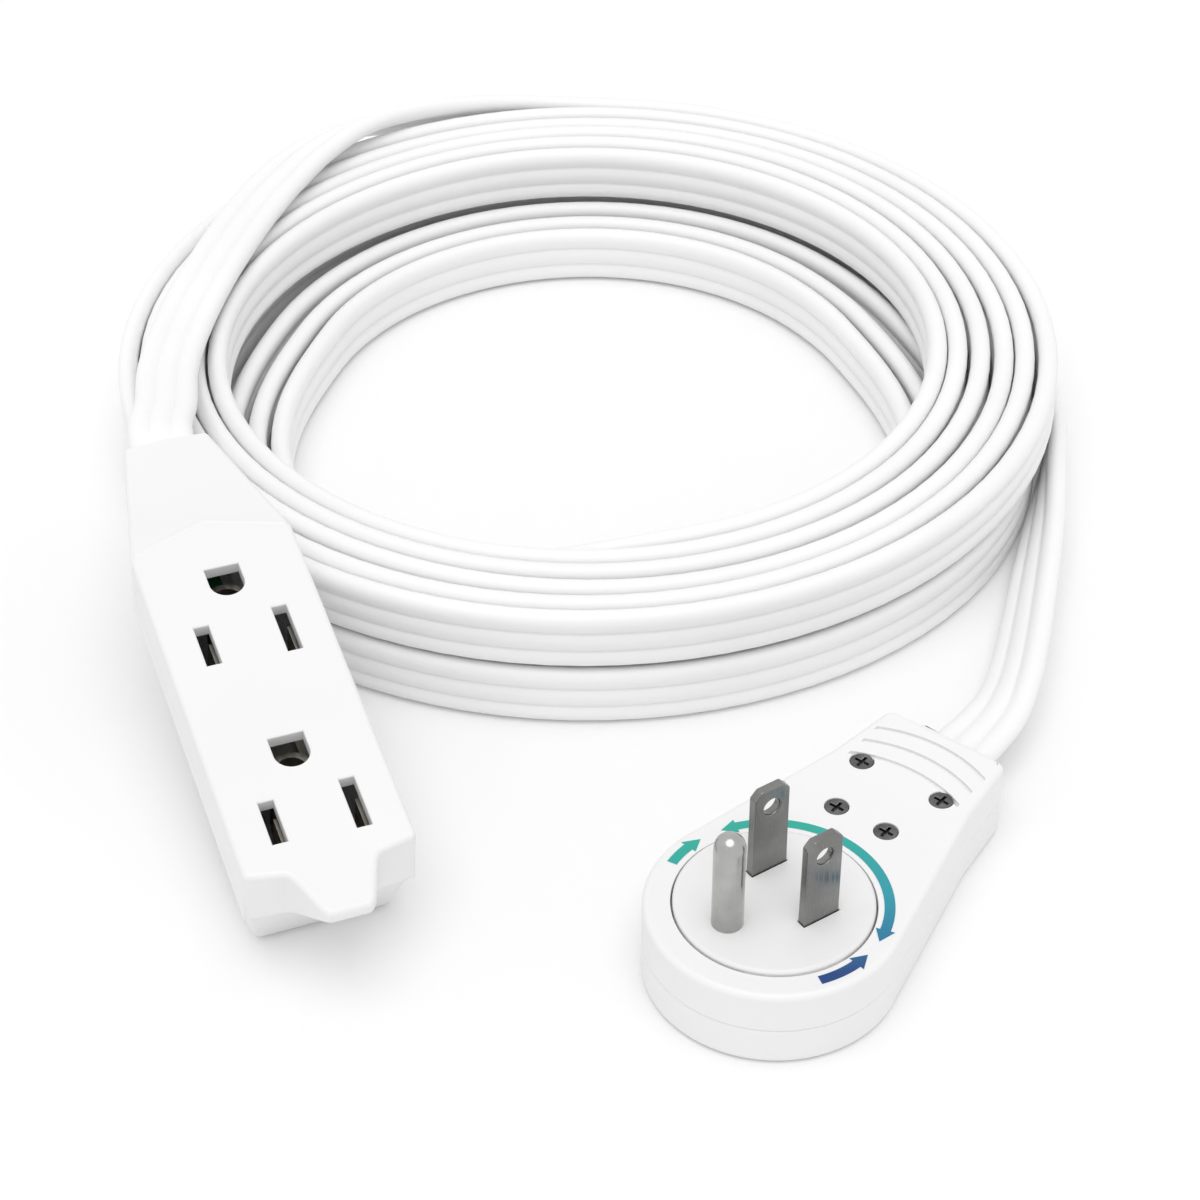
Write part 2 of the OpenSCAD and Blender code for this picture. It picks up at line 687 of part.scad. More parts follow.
// Four cross-recess screws, set flush in the face
module plug_screws() {
    recess = 0.7;
    recess_w = 0.5;
    color(steel) lay_plug() at_screws() difference() {
        union() {
            translate([0, 0, plug_h - screw_head_t]) cylinder(d = screw_head, h = screw_head_t - fit);
            translate([0, 0, floor_t + cut + touch])
                cylinder(d = screw_d, h = plug_h - screw_head_t - floor_t - cut);
        }
        for (turn = [0, 90])
            rotate([0, 0, turn])
                bar(screw_head / 3, -recess_w / 2, recess_w / 2, plug_h - recess - fit, plug_h);
    }
}

module plug_cord_collar() {
    inner_y = paddle_len - plug_wall;
    color(white) lay_plug() translate([0, 0, plug_cord_z]) difference() {
        union() {
            bar(collar_w / 2, inner_y - touch, paddle_len + collar_len, -collar_h / 2, collar_h / 2);
            bar(collar_w / 2 + collar_rim, inner_y - collar_flange, inner_y - touch,
                -collar_h / 2 - collar_rim, collar_h / 2 + collar_rim);
        }
        bar(cord_w / 2 + cord_fit, inner_y - collar_flange - cut, paddle_len + collar_len + cut,
            -cord_t / 2 - cord_fit, cord_t / 2 + cord_fit);
    }
}

module plug_cord_clamp() {
    half = cord_w / 2 + clamp_wall;
    color(white) lay_plug() difference() {
        bar(half, clamp_y - clamp_len / 2, clamp_y + clamp_len / 2, floor_t + touch, plug_h - lip_t - fit);
        bar(cord_w / 2 + cord_fit, clamp_y - clamp_len, clamp_y + clamp_len,
            plug_cord_z - cord_t / 2 - cord_fit, plug_cord_z + cord_t / 2 + cord_fit);
    }
}

// Brushes lie side by side, each with a dome under its ring
module brush(x, ring_r) {
    dome_y = sqrt(ring_r * ring_r - x * x);
    color(brass) lay_plug() translate([x, 0, 0]) {
        bar(brush_w / 2, dome_y, brush_tail_y, brush_z + touch, brush_z + brush_t);
        translate([0, dome_y, brush_z + touch])
            cylinder(r = dome_r, h = ring_z - brush_gap - brush_z - touch);
    }
}

module line_brush() {
    brush(0, line_ring_r);
}

module neutral_brush() {
    brush(neutral_brush_x, neutral_ring_r);
}

module ground_brush() {
    brush(ground_brush_x, ground_ring_r);
}

// Conductors from the cord's end to the brushes
module plug_wire(points, tint) {
    color(tint) sweep([for (p = points) on_plug(p)], [for (p = points) 0], wire_outline(core_d),
        [-plug_way, undef]);
}

module plug_line_wire() {
    plug_wire([[0, plug_cord_end_y - touch, plug_cord_z], [0, far_screw_y - 2, plug_cord_z - 1.2],
        [0, near_screw_y + 3, wire_z + 0.5], [0, near_screw_y - 1.5, wire_z],
        [0, brush_tail_y - 1.5, wire_z]], "black");
}

module side_wire(s, x, tint) {
    plug_wire([[s * core_gap, plug_cord_end_y - touch, plug_cord_z],
        [s * 3.3, far_screw_y - 2.6, plug_cord_z - 1.2],
        [s * (round_boss_x - 1.5), near_screw_y + 4.2, wire_z + 0.6],
        [s * round_boss_x, near_screw_y, wire_z], [x + s * 0.8, brush_tail_y - 0.6, wire_z],
        [x, brush_tail_y - 2.2, wire_z]], tint);
}

module plug_neutral_wire() {
    side_wire(-1, neutral_brush_x, "white");
}

module plug_ground_wire() {
    side_wire(1, ground_brush_x, "green");
}

module rotor_disc() {
    color(white) lay_rotor() difference() {
        rotate_extrude($fn = 128) polygon([[0, pocket_z], [pocket_r, pocket_z], [pocket_r, seat_z],
            [skirt_r, seat_z], [skirt_r, flange_z], [flange_r, flange_z], [flange_r, flange_top],
            [disc_r, flange_top], [disc_r, disc_top - disc_edge], [disc_r - disc_edge, disc_top],
            [0, disc_top]]);
        for (x = blade_xs)
            translate([x - blade_t / 2 - fit, blade_y - blade_w / 2 - fit, 0])
                cube([blade_t + 2 * fit, blade_w + 2 * fit, 2 * plug_h]);
        translate([0, pin_y, 0]) cylinder(d = pin_shank_d + 2 * fit, h = 2 * plug_h);
    }
}

// A strap hole through the rotor base at a ring's radius
module strap_hole(r, angle) {
    rotate([0, 0, angle]) translate([r - strap_w / 2 - fit, -strap_w / 2 - fit, base_z - cut])
        cube([strap_w + 2 * fit, strap_w + 2 * fit, base_t + 2 * cut]);
}

module rotor_base() {
    color(white) lay_rotor() difference() {
        translate([0, 0, base_z]) cylinder(r = skirt_r, h = base_t - touch, $fn = 128);
        translate([0, 0, base_z - cut]) cylinder(r = pivot_r + pivot_fit, h = base_t + 2 * cut);
        strap_hole(line_ring_r, 180 - blade_angle);
        strap_hole(neutral_ring_r, blade_angle);
        strap_hole(ground_ring_r, -90);
    }
}

// A blade with a wide foot under the disc, a chamfered tip and a hole
module blade(x) {
    z0 = seat_z + strap_t;
    top = disc_top + blade_len;
    half = blade_w / 2;
    color(steel) lay_rotor() translate([x, blade_y, 0]) difference() {
        union() {
            translate([-blade_t / 2, 0, 0]) rotate([90, 0, 90]) linear_extrude(blade_t)
                polygon([[-half, z0 + touch], [half, z0 + touch], [half, top - blade_tip],
                    [half - blade_tip, top], [blade_tip - half, top], [-half, top - blade_tip]]);
            bar(blade_t / 2, -half - cut, half + cut, z0 + touch, pocket_z - touch);
        }
        translate([-blade_t, 0, top - hole_drop]) rotate([0, 90, 0])
            cylinder(d = blade_hole, h = 2 * blade_t);
    }
}

module line_blade() {
    blade(blade_xs[0]);
}

module neutral_blade() {
    blade(blade_xs[1]);
}

// Round ground pin with a domed tip and a foot under the disc
module ground_pin() {
    z0 = seat_z + strap_t + touch;
    dome_z = disc_top + pin_len - pin_d / 2;
    color(steel) lay_rotor() translate([0, pin_y, 0]) {
        translate([0, 0, disc_top]) cylinder(d = pin_d, h = dome_z - disc_top);
        translate([0, 0, z0]) cylinder(d = pin_shank_d, h = disc_top - z0);
        translate([0, 0, z0]) cylinder(d = pin_foot_d, h = pocket_z - touch - z0);
        translate([0, 0, dome_z]) intersection() {
            sphere(d = pin_d);
            cylinder(d = 2 * pin_d, h = pin_d);
        }
    }
}

// A slip ring with a strap up through the base to its prong
module slip_ring(r, angle, reach) {
    color(brass) lay_rotor() {
        translate([0, 0, ring_z]) difference() {
            cylinder(r = r + ring_w / 2, h = ring_t - touch, $fn = 128);
            translate([0, 0, -cut]) cylinder(r = r - ring_w / 2, h = ring_t + 2 * cut, $fn = 128);
        }
        rotate([0, 0, angle]) {
            translate([r - strap_w / 2, -strap_w / 2, ring_z + ring_t / 2])
                cube([strap_w, strap_w, seat_z + strap_t - ring_z - ring_t / 2]);
            translate([min(r - strap_w / 2, reach), -strap_w / 2, seat_z])
                cube([abs(reach - r) + strap_w / 2, strap_w, strap_t]);
        }
    }
}

module line_ring() {
    slip_ring(line_ring_r, 180 - blade_angle, blade_reach + blade_t / 2);
}

module neutral_ring() {
    slip_ring(neutral_ring_r, blade_angle, blade_reach - blade_t / 2);
}

module ground_ring() {
    slip_ring(ground_ring_r, -90, -pin_y + pin_d / 4);
}

outlet_top_shell();
outlet_bottom_shell();
outlet_line_bus();
outlet_neutral_bus();
outlet_ground_bus();
outlet_cord_grip();
outlet_line_wire();
outlet_neutral_wire();
outlet_ground_wire();
cord_lead_outlet();
cord_coil();
cord_lead_plug();
plug_back_shell();
plug_face_shell();
plug_screws();
plug_cord_collar();
plug_cord_clamp();
line_brush();
neutral_brush();
ground_brush();
plug_line_wire();
plug_neutral_wire();
plug_ground_wire();
rotor_disc();
rotor_base();
line_blade();
neutral_blade();
ground_pin();
line_ring();
neutral_ring();
ground_ring();
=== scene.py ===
"""Dressed model of a flat extension cord with a two-outlet block and a rotating plug, in the CAD frame.

Lengths are in millimetres, apart from the camera's place, the floor and the materials' relief, in metres.
"""

import math

import bmesh
import bpy
from mathutils import Matrix, Vector


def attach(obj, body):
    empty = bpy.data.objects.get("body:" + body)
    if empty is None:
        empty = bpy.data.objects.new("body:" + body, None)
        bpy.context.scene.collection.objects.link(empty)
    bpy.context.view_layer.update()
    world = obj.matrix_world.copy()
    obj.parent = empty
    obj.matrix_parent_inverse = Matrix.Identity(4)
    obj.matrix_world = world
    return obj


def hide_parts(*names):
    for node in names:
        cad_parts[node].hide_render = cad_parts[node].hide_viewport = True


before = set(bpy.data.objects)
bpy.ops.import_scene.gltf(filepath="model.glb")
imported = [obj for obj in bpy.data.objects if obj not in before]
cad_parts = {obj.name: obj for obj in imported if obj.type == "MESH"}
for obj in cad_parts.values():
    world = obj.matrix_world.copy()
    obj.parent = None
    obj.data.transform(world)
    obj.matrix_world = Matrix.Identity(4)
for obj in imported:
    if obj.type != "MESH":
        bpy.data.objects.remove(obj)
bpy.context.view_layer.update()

# Camera
# A long lens from the front left, high over the cord. Its place was found from the prongs, the slots and
# the round coil.
SENSOR_W = 36.0
LENS_LENGTH = 90.0
CAMERA_AT = (-0.0757, -0.3547, 0.3235)
CAMERA_PITCH = math.radians(51.38)
CAMERA_TURN = math.radians(-20.64)
scene = bpy.context.scene
lens_data = bpy.data.cameras.new("camera")
lens_data.sensor_width = SENSOR_W
lens_data.lens = LENS_LENGTH
camera = bpy.data.objects.new("camera", lens_data)
scene.collection.objects.link(camera)
camera.location = CAMERA_AT
camera.rotation_euler = (CAMERA_PITCH, 0, CAMERA_TURN)
scene.camera = camera

# Studio
# A white floor under a bright white sky, and one wide soft light overhead.
# What the camera sees of the floor is partly plain white, so that only soft shadows show on it.
WHITE = (1, 1, 1, 1)
FLOOR_COLOUR = (0.93, 0.93, 0.93, 1)
FLOOR_SIZE = 6
FLOOR_AT = (0.08, 0.05, -0.0002)
FLOOR_ROUGH = 0.9
FLOOR_WHITE = 0.2
FLOOR_GLOW = 0.68
SKY_LIGHT = 0.82
KEY_STRENGTH = 1.15
KEY_ANGLE = math.radians(50)
KEY_TILT = (math.radians(12), math.radians(-7), 0)
scene.view_settings.view_transform = "Standard"


def share_to_the_eye(tree, share):
    """A share for what the camera sees straight, in metal or through glass, and none for other light."""
    ray = tree.nodes.new("ShaderNodeLightPath")
    seen = ray.outputs["Is Camera Ray"]
    for kind in ("Is Glossy Ray", "Is Transmission Ray"):
        either = tree.nodes.new("ShaderNodeMath")
        either.operation = "MAXIMUM"
        tree.links.new(seen, either.inputs[0])
        tree.links.new(ray.outputs[kind], either.inputs[1])
        seen = either.outputs[0]
    part = tree.nodes.new("ShaderNodeMath")
    part.operation = "MULTIPLY"
    part.inputs[1].default_value = share
    tree.links.new(seen, part.inputs[0])
    return part.outputs[0]


bpy.ops.mesh.primitive_plane_add(size=FLOOR_SIZE, location=FLOOR_AT)
floor = bpy.context.object
floor.name = "floor"
floor_mat = bpy.data.materials.new("floor")
floor_mat.use_nodes = True
floor_tree = floor_mat.node_tree
floor_bsdf = floor_tree.nodes["Principled BSDF"]
floor_bsdf.inputs["Base Color"].default_value = FLOOR_COLOUR
floor_bsdf.inputs["Roughness"].default_value = FLOOR_ROUGH
floor_bsdf.inputs["Specular IOR Level"].default_value = 0.0
floor_glow = floor_tree.nodes.new("ShaderNodeEmission")
floor_glow.inputs["Strength"].default_value = FLOOR_GLOW
floor_mix = floor_tree.nodes.new("ShaderNodeMixShader")
floor_tree.links.new(share_to_the_eye(floor_tree, FLOOR_WHITE), floor_mix.inputs[0])
floor_tree.links.new(floor_bsdf.outputs[0], floor_mix.inputs[1])
floor_tree.links.new(floor_glow.outputs[0], floor_mix.inputs[2])
floor_tree.links.new(floor_mix.outputs[0], floor_tree.nodes["Material Output"].inputs["Surface"])
floor.data.materials.append(floor_mat)

world = bpy.data.worlds.new("sky")
scene.world = world
world.use_nodes = True
sky = world.node_tree
sky_lit = sky.nodes["Background"]
sky_lit.inputs["Color"].default_value = WHITE
sky_lit.inputs["Strength"].default_value = SKY_LIGHT
sky_seen = sky.nodes.new("ShaderNodeBackground")
sky_seen.inputs["Color"].default_value = WHITE
sky_mix = sky.nodes.new("ShaderNodeMixShader")
sky.links.new(share_to_the_eye(sky, 1.0), sky_mix.inputs[0])
sky.links.new(sky_lit.outputs[0], sky_mix.inputs[1])
sky.links.new(sky_seen.outputs[0], sky_mix.inputs[2])
sky.links.new(sky_mix.outputs[0], sky.nodes["World Output"].inputs["Surface"])

key_data = bpy.data.lights.new("key_light", "SUN")
key_data.energy = KEY_STRENGTH
key_data.angle = KEY_ANGLE
key_light = bpy.data.objects.new("key_light", key_data)
scene.collection.objects.link(key_light)
key_light.rotation_euler = KEY_TILT

# Cord
# One flat three-conductor cord in a soft white jacket with three lobes, wound on edge in two layers.
# It runs from the plug round the lower layer, climbs, winds the upper layer and crosses over the turns
# to the outlet block's neck. The jacket is extruded, with faint lines along it.
MM = 0.001
BLOCK_TILT = math.radians(10.5)
BLOCK_SLIDE = -12.374
BLOCK_LIFT = 4.1
PLUG_AT = Vector((60, -67.1, 0))
PLUG_TURN = math.radians(-58.6)
CORD_W = 10.8
CORD_T = 3.5
COIL_AT = Vector((83.25, 74, 0))
COIL_START = -20
COIL_R = 83.4
PITCH = 4.0
LOWER_TURNS = 5
SPREAD = 12.0
UPPER_R = COIL_R - PITCH * LOWER_TURNS
CLIMB_AT = 225
CLIMB_TURN = 60
TAIL_AT = 160
LOWER_TURN = 360 * LOWER_TURNS + CLIMB_AT
CLIMB_END = LOWER_TURN + CLIMB_TURN
COIL_TURN = CLIMB_END + 360 * LOWER_TURNS + TAIL_AT
LOWER_LAG = -50
UPPER_LAG = 190
SHIFT_PART = 0.25
FRONT_AT = 250
FRONT_HALF = 40
FRONT_FADE = 70
LAYER_GAP = 0.6
LOW_Z = CORD_W / 2
HIGH_Z = LOW_Z + CORD_W + LAYER_GAP
TAIL = 11.0
BLOCK_PLACE = (
    Matrix.Translation(Vector((0, BLOCK_SLIDE, BLOCK_LIFT)) * MM) @ Matrix.Rotation(BLOCK_TILT, 4, "X")
)
PLUG_PLACE = Matrix.Translation(PLUG_AT * MM) @ Matrix.Rotation(PLUG_TURN, 4, "Z")


def on_block(x, y, z):
    """A point of the outlet block's own frame, where the block lies, in millimetres."""
    return BLOCK_PLACE @ (Vector((x, y, z)) * MM) / MM


def on_plug(x, y, z):
    """A point of the plug's own frame, where the plug lies, in millimetres."""
    return PLUG_PLACE @ (Vector((x, y, z)) * MM) / MM


def smooth(t):
    """An eased step from 0 to 1."""
    t = min(1.0, max(0.0, t))
    return t * t * (3 - 2 * t)


def turns_over(a):
    """Turns wound by an angle: each moves over by one in its first part and then stays round."""
    whole, part = divmod(a / 360, 1)
    return whole + smooth(part / SHIFT_PART)


def lower_radius(a):
    """Radius in the lower layer, whose turns lie close at the front and spread inward elsewhere."""
    t = turns_over(min(a, LOWER_TURN) - LOWER_LAG) - 1
    u = max(t, 0) / LOWER_TURNS
    from_front = abs((COIL_START + a - FRONT_AT + 540) % 360 - 180)
    return COIL_R - PITCH * t - SPREAD * smooth((from_front - FRONT_HALF) / FRONT_FADE) * u * (2 - u)


def coil_point(a):
    """The middle of the cord at an angle wound: in the lower layer, on the climb or in the upper layer."""
    turn = math.radians(COIL_START + a)
    climbed = smooth((a - LOWER_TURN) / CLIMB_TURN)
    r = UPPER_R + PITCH * turns_over(a - CLIMB_END - UPPER_LAG)
    if a < CLIMB_END:
        r = lower_radius(a) + (UPPER_R - lower_radius(a)) * climbed
    return COIL_AT + Vector((r * math.cos(turn), r * math.sin(turn), LOW_Z + (HIGH_Z - LOW_Z) * climbed))


def coil_way(a):
    """The direction that the cord runs in at an angle wound."""
    turn = math.radians(COIL_START + a)
    return Vector((-math.sin(turn), math.cos(turn), 0))


SWAY = 0.14
SWAY_RATE = 1.37
SWAY_START = 0.6
WAVE = 0.12
WAVE_RATE = 2.23
LEAN = 1.2
LEAN_RATE = 1.71
EASE_TURN = 90
ON_EDGE = -90


def hand_wound(a):
    """A point of the coil and the cord's roll there, a little uneven, as hands wind it."""
    ease = smooth(a / EASE_TURN) * smooth((COIL_TURN - a) / EASE_TURN)
    turn = math.radians(a)
    sway = SWAY * math.sin(SWAY_RATE * turn + SWAY_START) * ease
    wave = WAVE * (1 + math.sin(WAVE_RATE * turn)) * ease
    out = Vector((coil_way(a).y, -coil_way(a).x, 0))
    roll = ON_EDGE + LEAN * math.sin(LEAN_RATE * turn) * ease
    return coil_point(a) + out * sway + Vector((0, 0, wave)), roll


def through(points, rolls, first, last, steps):
    """Points and rolls on a smooth curve through a route, leaving and arriving in given directions."""
    legs = [b - a for a, b in zip(points, points[1:])]
    ways = [first]
    for a, b in zip(legs, legs[1:]):
        ways.append((a.normalized() * b.length + b.normalized() * a.length).normalized())
    ways.append(last)
    out = []
    for i, leg in enumerate(legs):
        for k in range(steps):
            t = k / steps
            h = (2 * t**3 - 3 * t**2 + 1, t**3 - 2 * t**2 + t, 3 * t**2 - 2 * t**3, t**3 - t**2)
            bend = (ways[i] * h[1] + ways[i + 1] * h[3]) * leg.length
            p = points[i] * h[0] + points[i + 1] * h[2] + bend
            out.append((p, rolls[i] + (rolls[i + 1] - rolls[i]) * t))
    out.append((points[-1], rolls[-1]))
    return out


# The way over the turns: angle round the coil, distance from its middle, height and roll.
OVER_COIL = [
    (80, 84.9, 18, -100), (88, 85, 19.8, -116), (96, 84.2, 22, -134), (104, 82, 24.2, -152),
    (112, 79, 25, -167), (120, 76, 25, -176), (128, 73.5, 24.9, -180), (136, 71.8, 24.8, -180),
    (144, 71, 24.8, -180), (152, 71.2, 24.8, -180), (160, 72.3, 24.9, -180), (168, 74.2, 25.4, -180),
    (176, 76.6, 26.6, -180), (184, 79.4, 28.3, -180),
]
# The way from the plug's collar to the coil, and the rolls from the cord's end in the plug to the coil.
PLUG_ROUTE = [
    (113.4, -33.9, 6.6), (119, -28.1, 6.3), (125, -20, 5.9), (131.4, -10.4, 5.6), (138.5, 0.5, 5.5),
    (144.6, 9.9, 5.5), (152, 21.7, 5.6),
]
PLUG_ROLL = [0, 0, -14, -32, -39, -44, -49, -57, -75, ON_EDGE]
PLUG_CORD_Y = 39
PLUG_CORD_Z = 6.75
COLLAR_END = 50.5
MOUTH_Y = 67.6
MOUTH_LEAD = 3
CORD_END_Y = 40.1
CORD_Z = 13.35
SNUG = 0.12
TURNED_OVER = -180
COIL_RINGS = 1012
LEAD_STEPS = 8
coil_head = coil_point(0) - TAIL * coil_way(0)
coil_tail = coil_point(COIL_TURN) + TAIL * coil_way(COIL_TURN)
block_way = (on_block(0, -1, 0) - on_block(0, 0, 0)).normalized()
plug_way = (on_plug(0, 1, 0) - on_plug(0, 0, 0)).normalized()
in_plug = [on_plug(0, y, PLUG_CORD_Z) for y in (PLUG_CORD_Y, COLLAR_END)]
in_block = [on_block(0, y, CORD_Z + SNUG) for y in (MOUTH_Y + MOUTH_LEAD, MOUTH_Y, CORD_END_Y)]
crossing = []
for angle, r, z, _ in OVER_COIL:
    turn = math.radians(angle)
    crossing.append(COIL_AT + Vector((r * math.cos(turn), r * math.sin(turn), z)))
plug_lead = through(
    in_plug + [Vector(p) for p in PLUG_ROUTE] + [coil_head],
    PLUG_ROLL, plug_way, coil_way(0), LEAD_STEPS,
)
outlet_lead = through(
    [coil_tail] + crossing + in_block,
    [ON_EDGE] + [p[3] for p in OVER_COIL] + [TURNED_OVER] * len(in_block),
    coil_way(COIL_TURN), block_way, LEAD_STEPS,
)
coil = [hand_wound(COIL_TURN * i / COIL_RINGS) for i in range(COIL_RINGS + 1)]
route = plug_lead + coil + outlet_lead

LOBE_GAP = 3.6
LOBE_POWER = 0.7
FLAT_STEPS = 10
CAP_STEPS = 8
flat_side = []
for i in range(-FLAT_STEPS, FLAT_STEPS + 1):
    x = LOBE_GAP * i / FLAT_STEPS
    flat_side.append((x, 1 - abs(math.cos(math.pi * x / LOBE_GAP)) ** LOBE_POWER))
caps = [math.radians(90 - 180 * k / CAP_STEPS) for k in range(1, CAP_STEPS)]
outline = [(x, CORD_T / 2, -dip) for x, dip in flat_side[::-1]]
outline += [(-LOBE_GAP - (CORD_W / 2 - LOBE_GAP) * math.cos(c), CORD_T / 2 * math.sin(c), 0) for c in caps]
outline += [(x, -CORD_T / 2, dip) for x, dip in flat_side]
outline += [(LOBE_GAP + (CORD_W / 2 - LOBE_GAP) * math.cos(c), -CORD_T / 2 * math.sin(c), 0) for c in caps]

# The grooves between the lobes are pressed flat in the mouth of the block's neck.
GROOVE = 0.6
PRESSED = 1.5
PRESS_FADE = 6
CORD_ROUND = 27
mouth = on_block(0, MOUTH_Y, CORD_Z)
verts = []
faces = []
along = []
count = len(route)
size = len(outline)
travelled = 0.0
for i, (at, roll) in enumerate(route):
    way = (route[min(i + 1, count - 1)][0] - route[max(i - 1, 0)][0]).normalized()
    side = Vector((0, 0, 1)).cross(way).normalized()
    up = way.cross(side)
    c = math.cos(math.radians(roll))
    s = math.sin(math.radians(roll))
    if i:
        travelled += (at - route[i - 1][0]).length
    along.append(travelled)
    groove = GROOVE * smooth(((at - mouth).length - PRESSED) / PRESS_FADE)
    for x, flat_y, dip in outline:
        y = flat_y + groove * dip
        verts.append((at + side * (x * c - y * s) + up * (x * s + y * c)) * MM)
for i in range(count - 1):
    for j in range(size):
        k = (j + 1) % size
        faces.append((i * size + j, (i + 1) * size + j, (i + 1) * size + k, i * size + k))
faces.append(tuple(range(size)))
faces.append(tuple((count - 1) * size + j for j in range(size - 1, -1, -1)))
cord_mesh = bpy.data.meshes.new("flat_cord")
cord_mesh.from_pydata(verts, [], faces)
cord_uv = cord_mesh.uv_layers.new(name="along")
for loop in cord_mesh.loops:
    i, j = divmod(loop.vertex_index, size)
    cord_uv.data[loop.index].uv = (j / size * CORD_ROUND * MM, along[i] * MM)
cord_mesh.shade_smooth()
flat_cord = bpy.data.objects.new("flat_cord", cord_mesh)
scene.collection.objects.link(flat_cord)
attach(flat_cord, "cord_set")
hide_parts("cord_lead_outlet", "cord_coil", "cord_lead_plug")

FINE_DETAIL = 4
BROAD_DETAIL = 3
CLOUD_STOPS = (0.35, 0.65)
GRAIN_STOPS = (0.3, 0.7)


def grey(tone):
    """A neutral colour."""
    return (tone, tone, tone)


def finish_of(name, tones, rough, grain, relief, stretch=(1, 1, 1), metal=0.0, uv=None, clouds=40):
    """A surface whose colour drifts in clouds between two tones, with a fine grain in its gloss and relief."""
    material = bpy.data.materials.new(name)
    material.use_nodes = True
    tree = material.node_tree
    shader = tree.nodes["Principled BSDF"]
    shader.inputs["Metallic"].default_value = metal
    if uv:
        place = tree.nodes.new("ShaderNodeUVMap")
        place.uv_map = uv
        where = place.outputs["UV"]
    else:
        where = tree.nodes.new("ShaderNodeTexCoord").outputs["Object"]
    turned = tree.nodes.new("ShaderNodeMapping")
    turned.inputs["Scale"].default_value = stretch
    tree.links.new(where, turned.inputs["Vector"])
    fine = tree.nodes.new("ShaderNodeTexNoise")
    fine.inputs["Scale"].default_value = grain
    fine.inputs["Detail"].default_value = FINE_DETAIL
    tree.links.new(turned.outputs[0], fine.inputs["Vector"])
    broad = tree.nodes.new("ShaderNodeTexNoise")
    broad.inputs["Scale"].default_value = clouds
    broad.inputs["Detail"].default_value = BROAD_DETAIL
    tree.links.new(where, broad.inputs["Vector"])
    tint = tree.nodes.new("ShaderNodeValToRGB")
    for stop, position, tone in zip(tint.color_ramp.elements, CLOUD_STOPS, tones):
        stop.position = position
        stop.color = (*tone, 1)
    tree.links.new(broad.outputs["Fac"], tint.inputs["Fac"])
    tree.links.new(tint.outputs[0], shader.inputs["Base Color"])
    gloss = tree.nodes.new("ShaderNodeMapRange")
    gloss.inputs["From Min"].default_value = GRAIN_STOPS[0]
    gloss.inputs["From Max"].default_value = GRAIN_STOPS[1]
    gloss.inputs["To Min"].default_value = rough[0]
    gloss.inputs["To Max"].default_value = rough[1]
    tree.links.new(fine.outputs["Fac"], gloss.inputs["Value"])
    tree.links.new(gloss.outputs[0], shader.inputs["Roughness"])
    bump = tree.nodes.new("ShaderNodeBump")
    bump.inputs["Strength"].default_value = 1.0
    bump.inputs["Distance"].default_value = relief
    tree.links.new(fine.outputs["Fac"], bump.inputs["Height"])
    tree.links.new(bump.outputs[0], shader.inputs["Normal"])
    return material


jacket = finish_of(
    "cord_jacket", tones=(grey(0.83), grey(0.855)), rough=(0.4, 0.55), grain=900, relief=8e-6,
    stretch=(2.2, 0.03, 1), uv="along", clouds=25,
)
flat_cord.data.materials.append(jacket)


# Outlet contacts
# Two folded strips with pairs of leaves grip the blades, and a strip with two split sleeves grips the ground
# pins. They are stamped from tinned brass, dull and a little warm, and drop into ribs in the bottom shell.
def dress(material, *nodes):
    """Give CAD nodes a better material."""
    for node in nodes:
        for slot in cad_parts[node].material_slots:
            slot.material = material


tinned_brass = finish_of(
    "tinned_brass", tones=((0.38, 0.36, 0.31), (0.47, 0.45, 0.4)), rough=(0.28, 0.5), grain=1500, relief=3e-6,
    stretch=(1, 0.06, 1), metal=1.0, clouds=160,
)
dress(tinned_brass, "outlet_line_bus", "outlet_neutral_bus", "outlet_ground_bus")

# Conductors
# Black, white and green insulated copper conductors, stripped from the cord's jacket and laid from its ends to
# the contact strips and the brushes. Their insulation is extruded and slightly waxy.
BLACK_TONES = ((0.018, 0.018, 0.019), (0.03, 0.03, 0.031))
WHITE_TONES = ((0.78, 0.78, 0.76), (0.84, 0.84, 0.82))
GREEN_TONES = ((0.015, 0.16, 0.055), (0.022, 0.21, 0.075))
WIRES = {"line": BLACK_TONES, "neutral": WHITE_TONES, "ground": GREEN_TONES}
for use, tones in WIRES.items():
    insulation = finish_of(
        f"{use}_insulation", tones, rough=(0.32, 0.46), grain=1600, relief=4e-6, clouds=220
    )
    dress(insulation, f"outlet_{use}_wire", f"plug_{use}_wire")

# Cord grip and cord clamp
# A saddle in the block's neck and a clamp in the plug's paddle hold the flat cord by its jacket. They are
# moulded in plain matt plastic and pressed into their shells.
inner_plastic = finish_of(
    "inner_plastic", tones=((0.7, 0.7, 0.69), (0.76, 0.76, 0.75)), rough=(0.5, 0.62), grain=2600, relief=1e-5
)
dress(inner_plastic, "outlet_cord_grip", "plug_cord_clamp")

# Outlet block's bottom shell
# A drafted tray with a rounded keel, ribs for the contacts and a sill under the cord. It is moulded in white
# satin plastic, and its rim has a fine broken edge that makes the seam with the top shell.
FLAT_ANGLE = math.radians(0.3)
SMOOTH_ANGLE = math.radians(32)
MERGE = 0.002
SPLIT_Z = 10
BLOCK_HALF = 13.2
NEAR_Y = -25.1
HEEL_Y = 38.9
SIDE_DRAFT = 2.5
NEAR_DRAFT = 2.6
HEEL_DRAFT = 5.0
KEEL_ROUND = 1.0
ROUND_STEPS = 4
SEAM = 0.2
SEAM_STEPS = 1
SHARP = 25
TOUCH = 0.05
SKIN = 0.3


